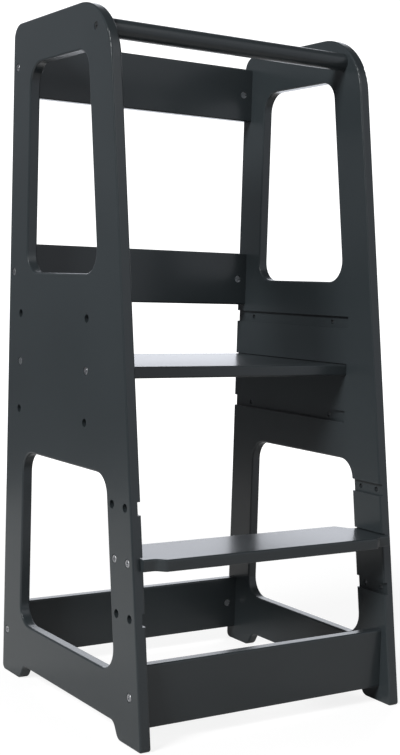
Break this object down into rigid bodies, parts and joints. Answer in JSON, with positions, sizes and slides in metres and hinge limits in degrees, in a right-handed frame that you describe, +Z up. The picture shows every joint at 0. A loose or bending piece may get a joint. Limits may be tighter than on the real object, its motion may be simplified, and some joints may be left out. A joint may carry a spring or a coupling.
{
  "type": "toddler kitchen helper stool",
  "caption": "Toddler standing tower with leaning side panels, hand-hold windows, flat cross rails, a round handrail, a standing platform and a climbing step in height grooves.",
  "frame": {"origin": "on the floor, in the middle of the footprint", "axes": "+X is the width, towards the right panel as seen from the front; +Y is towards the back rails; +Z is up"},
  "size_m": [0.4, 0.3924, 0.9],
  "materials": {
    "painted_board": "dark grey paint, satin",
    "dowel_wood": "plain beech",
    "bolt_steel": "bright zinc",
    "nut_steel": "bright zinc",
    "screw_steel": "dark zinc"
  },
  "bodies": {
    "frame": {"left_side_panel": "painted_board", "right_side_panel": "painted_board", "handrail_bar": "painted_board", "back_rail_top": "painted_board", "back_rail_middle": "painted_board", "back_rail_bottom": "painted_board", "front_rail_bottom": "painted_board", "platform": "painted_board", "step_board": "painted_board", "back_rail_top_bolt_left": "bolt_steel", "back_rail_top_bolt_right": "bolt_steel", "back_rail_middle_bolt_left": "bolt_steel", "back_rail_middle_bolt_right": "bolt_steel", "back_rail_bottom_bolt_left": "bolt_steel", "back_rail_bottom_bolt_right": "bolt_steel", "front_rail_bottom_bolt_left": "bolt_steel", "front_rail_bottom_bolt_right": "bolt_steel", "back_rail_top_nut_left": "nut_steel", "back_rail_top_nut_right": "nut_steel", "back_rail_middle_nut_left": "nut_steel", "back_rail_middle_nut_right": "nut_steel", "back_rail_bottom_nut_left": "nut_steel", "back_rail_bottom_nut_right": "nut_steel", "front_rail_bottom_nut_left": "nut_steel", "front_rail_bottom_nut_right": "nut_steel", "platform_nut_left_front": "nut_steel", "platform_nut_left_back": "nut_steel", "platform_nut_right_front": "nut_steel", "platform_nut_right_back": "nut_steel", "step_nut_left_front": "nut_steel", "step_nut_left_back": "nut_steel", "step_nut_right_front": "nut_steel", "step_nut_right_back": "nut_steel", "back_rail_top_dowel_left_upper": "dowel_wood", "back_rail_top_dowel_left_lower": "dowel_wood", "back_rail_top_dowel_right_upper": "dowel_wood", "back_rail_top_dowel_right_lower": "dowel_wood", "back_rail_middle_dowel_left_upper": "dowel_wood", "back_rail_middle_dowel_left_lower": "dowel_wood", "back_rail_middle_dowel_right_upper": "dowel_wood", "back_rail_middle_dowel_right_lower": "dowel_wood", "back_rail_bottom_dowel_left_upper": "dowel_wood", "back_rail_bottom_dowel_left_lower": "dowel_wood", "back_rail_bottom_dowel_right_upper": "dowel_wood", "back_rail_bottom_dowel_right_lower": "dowel_wood", "front_rail_bottom_dowel_left_upper": "dowel_wood", "front_rail_bottom_dowel_left_lower": "dowel_wood", "front_rail_bottom_dowel_right_upper": "dowel_wood", "front_rail_bottom_dowel_right_lower": "dowel_wood", "handrail_screw_left": "screw_steel", "handrail_screw_right": "screw_steel"},
    "platform_bolt_left_front_body": {"platform_bolt_left_front": "bolt_steel"},
    "platform_bolt_left_back_body": {"platform_bolt_left_back": "bolt_steel"},
    "platform_bolt_right_front_body": {"platform_bolt_right_front": "bolt_steel"},
    "platform_bolt_right_back_body": {"platform_bolt_right_back": "bolt_steel"},
    "step_bolt_left_front_body": {"step_bolt_left_front": "bolt_steel"},
    "step_bolt_left_back_body": {"step_bolt_left_back": "bolt_steel"},
    "step_bolt_right_front_body": {"step_bolt_right_front": "bolt_steel"},
    "step_bolt_right_back_body": {"step_bolt_right_back": "bolt_steel"}
  },
  "joints": [
    {"name": "platform_bolt_left_front_travel", "type": "slide", "parent": "frame", "child": "platform_bolt_left_front_body", "axis": [-1, 0, 0], "range_m": [0, 0.027]},
    {"name": "platform_bolt_left_back_travel", "type": "slide", "parent": "frame", "child": "platform_bolt_left_back_body", "axis": [-1, 0, 0], "range_m": [0, 0.027]},
    {"name": "platform_bolt_right_front_travel", "type": "slide", "parent": "frame", "child": "platform_bolt_right_front_body", "axis": [1, 0, 0], "range_m": [0, 0.027]},
    {"name": "platform_bolt_right_back_travel", "type": "slide", "parent": "frame", "child": "platform_bolt_right_back_body", "axis": [1, 0, 0], "range_m": [0, 0.027]},
    {"name": "step_bolt_left_front_travel", "type": "slide", "parent": "frame", "child": "step_bolt_left_front_body", "axis": [-1, 0, 0], "range_m": [0, 0.027]},
    {"name": "step_bolt_left_back_travel", "type": "slide", "parent": "frame", "child": "step_bolt_left_back_body", "axis": [-1, 0, 0], "range_m": [0, 0.027]},
    {"name": "step_bolt_right_front_travel", "type": "slide", "parent": "frame", "child": "step_bolt_right_front_body", "axis": [1, 0, 0], "range_m": [0, 0.027]},
    {"name": "step_bolt_right_back_travel", "type": "slide", "parent": "frame", "child": "step_bolt_right_back_body", "axis": [1, 0, 0], "range_m": [0, 0.027]}
  ]
}
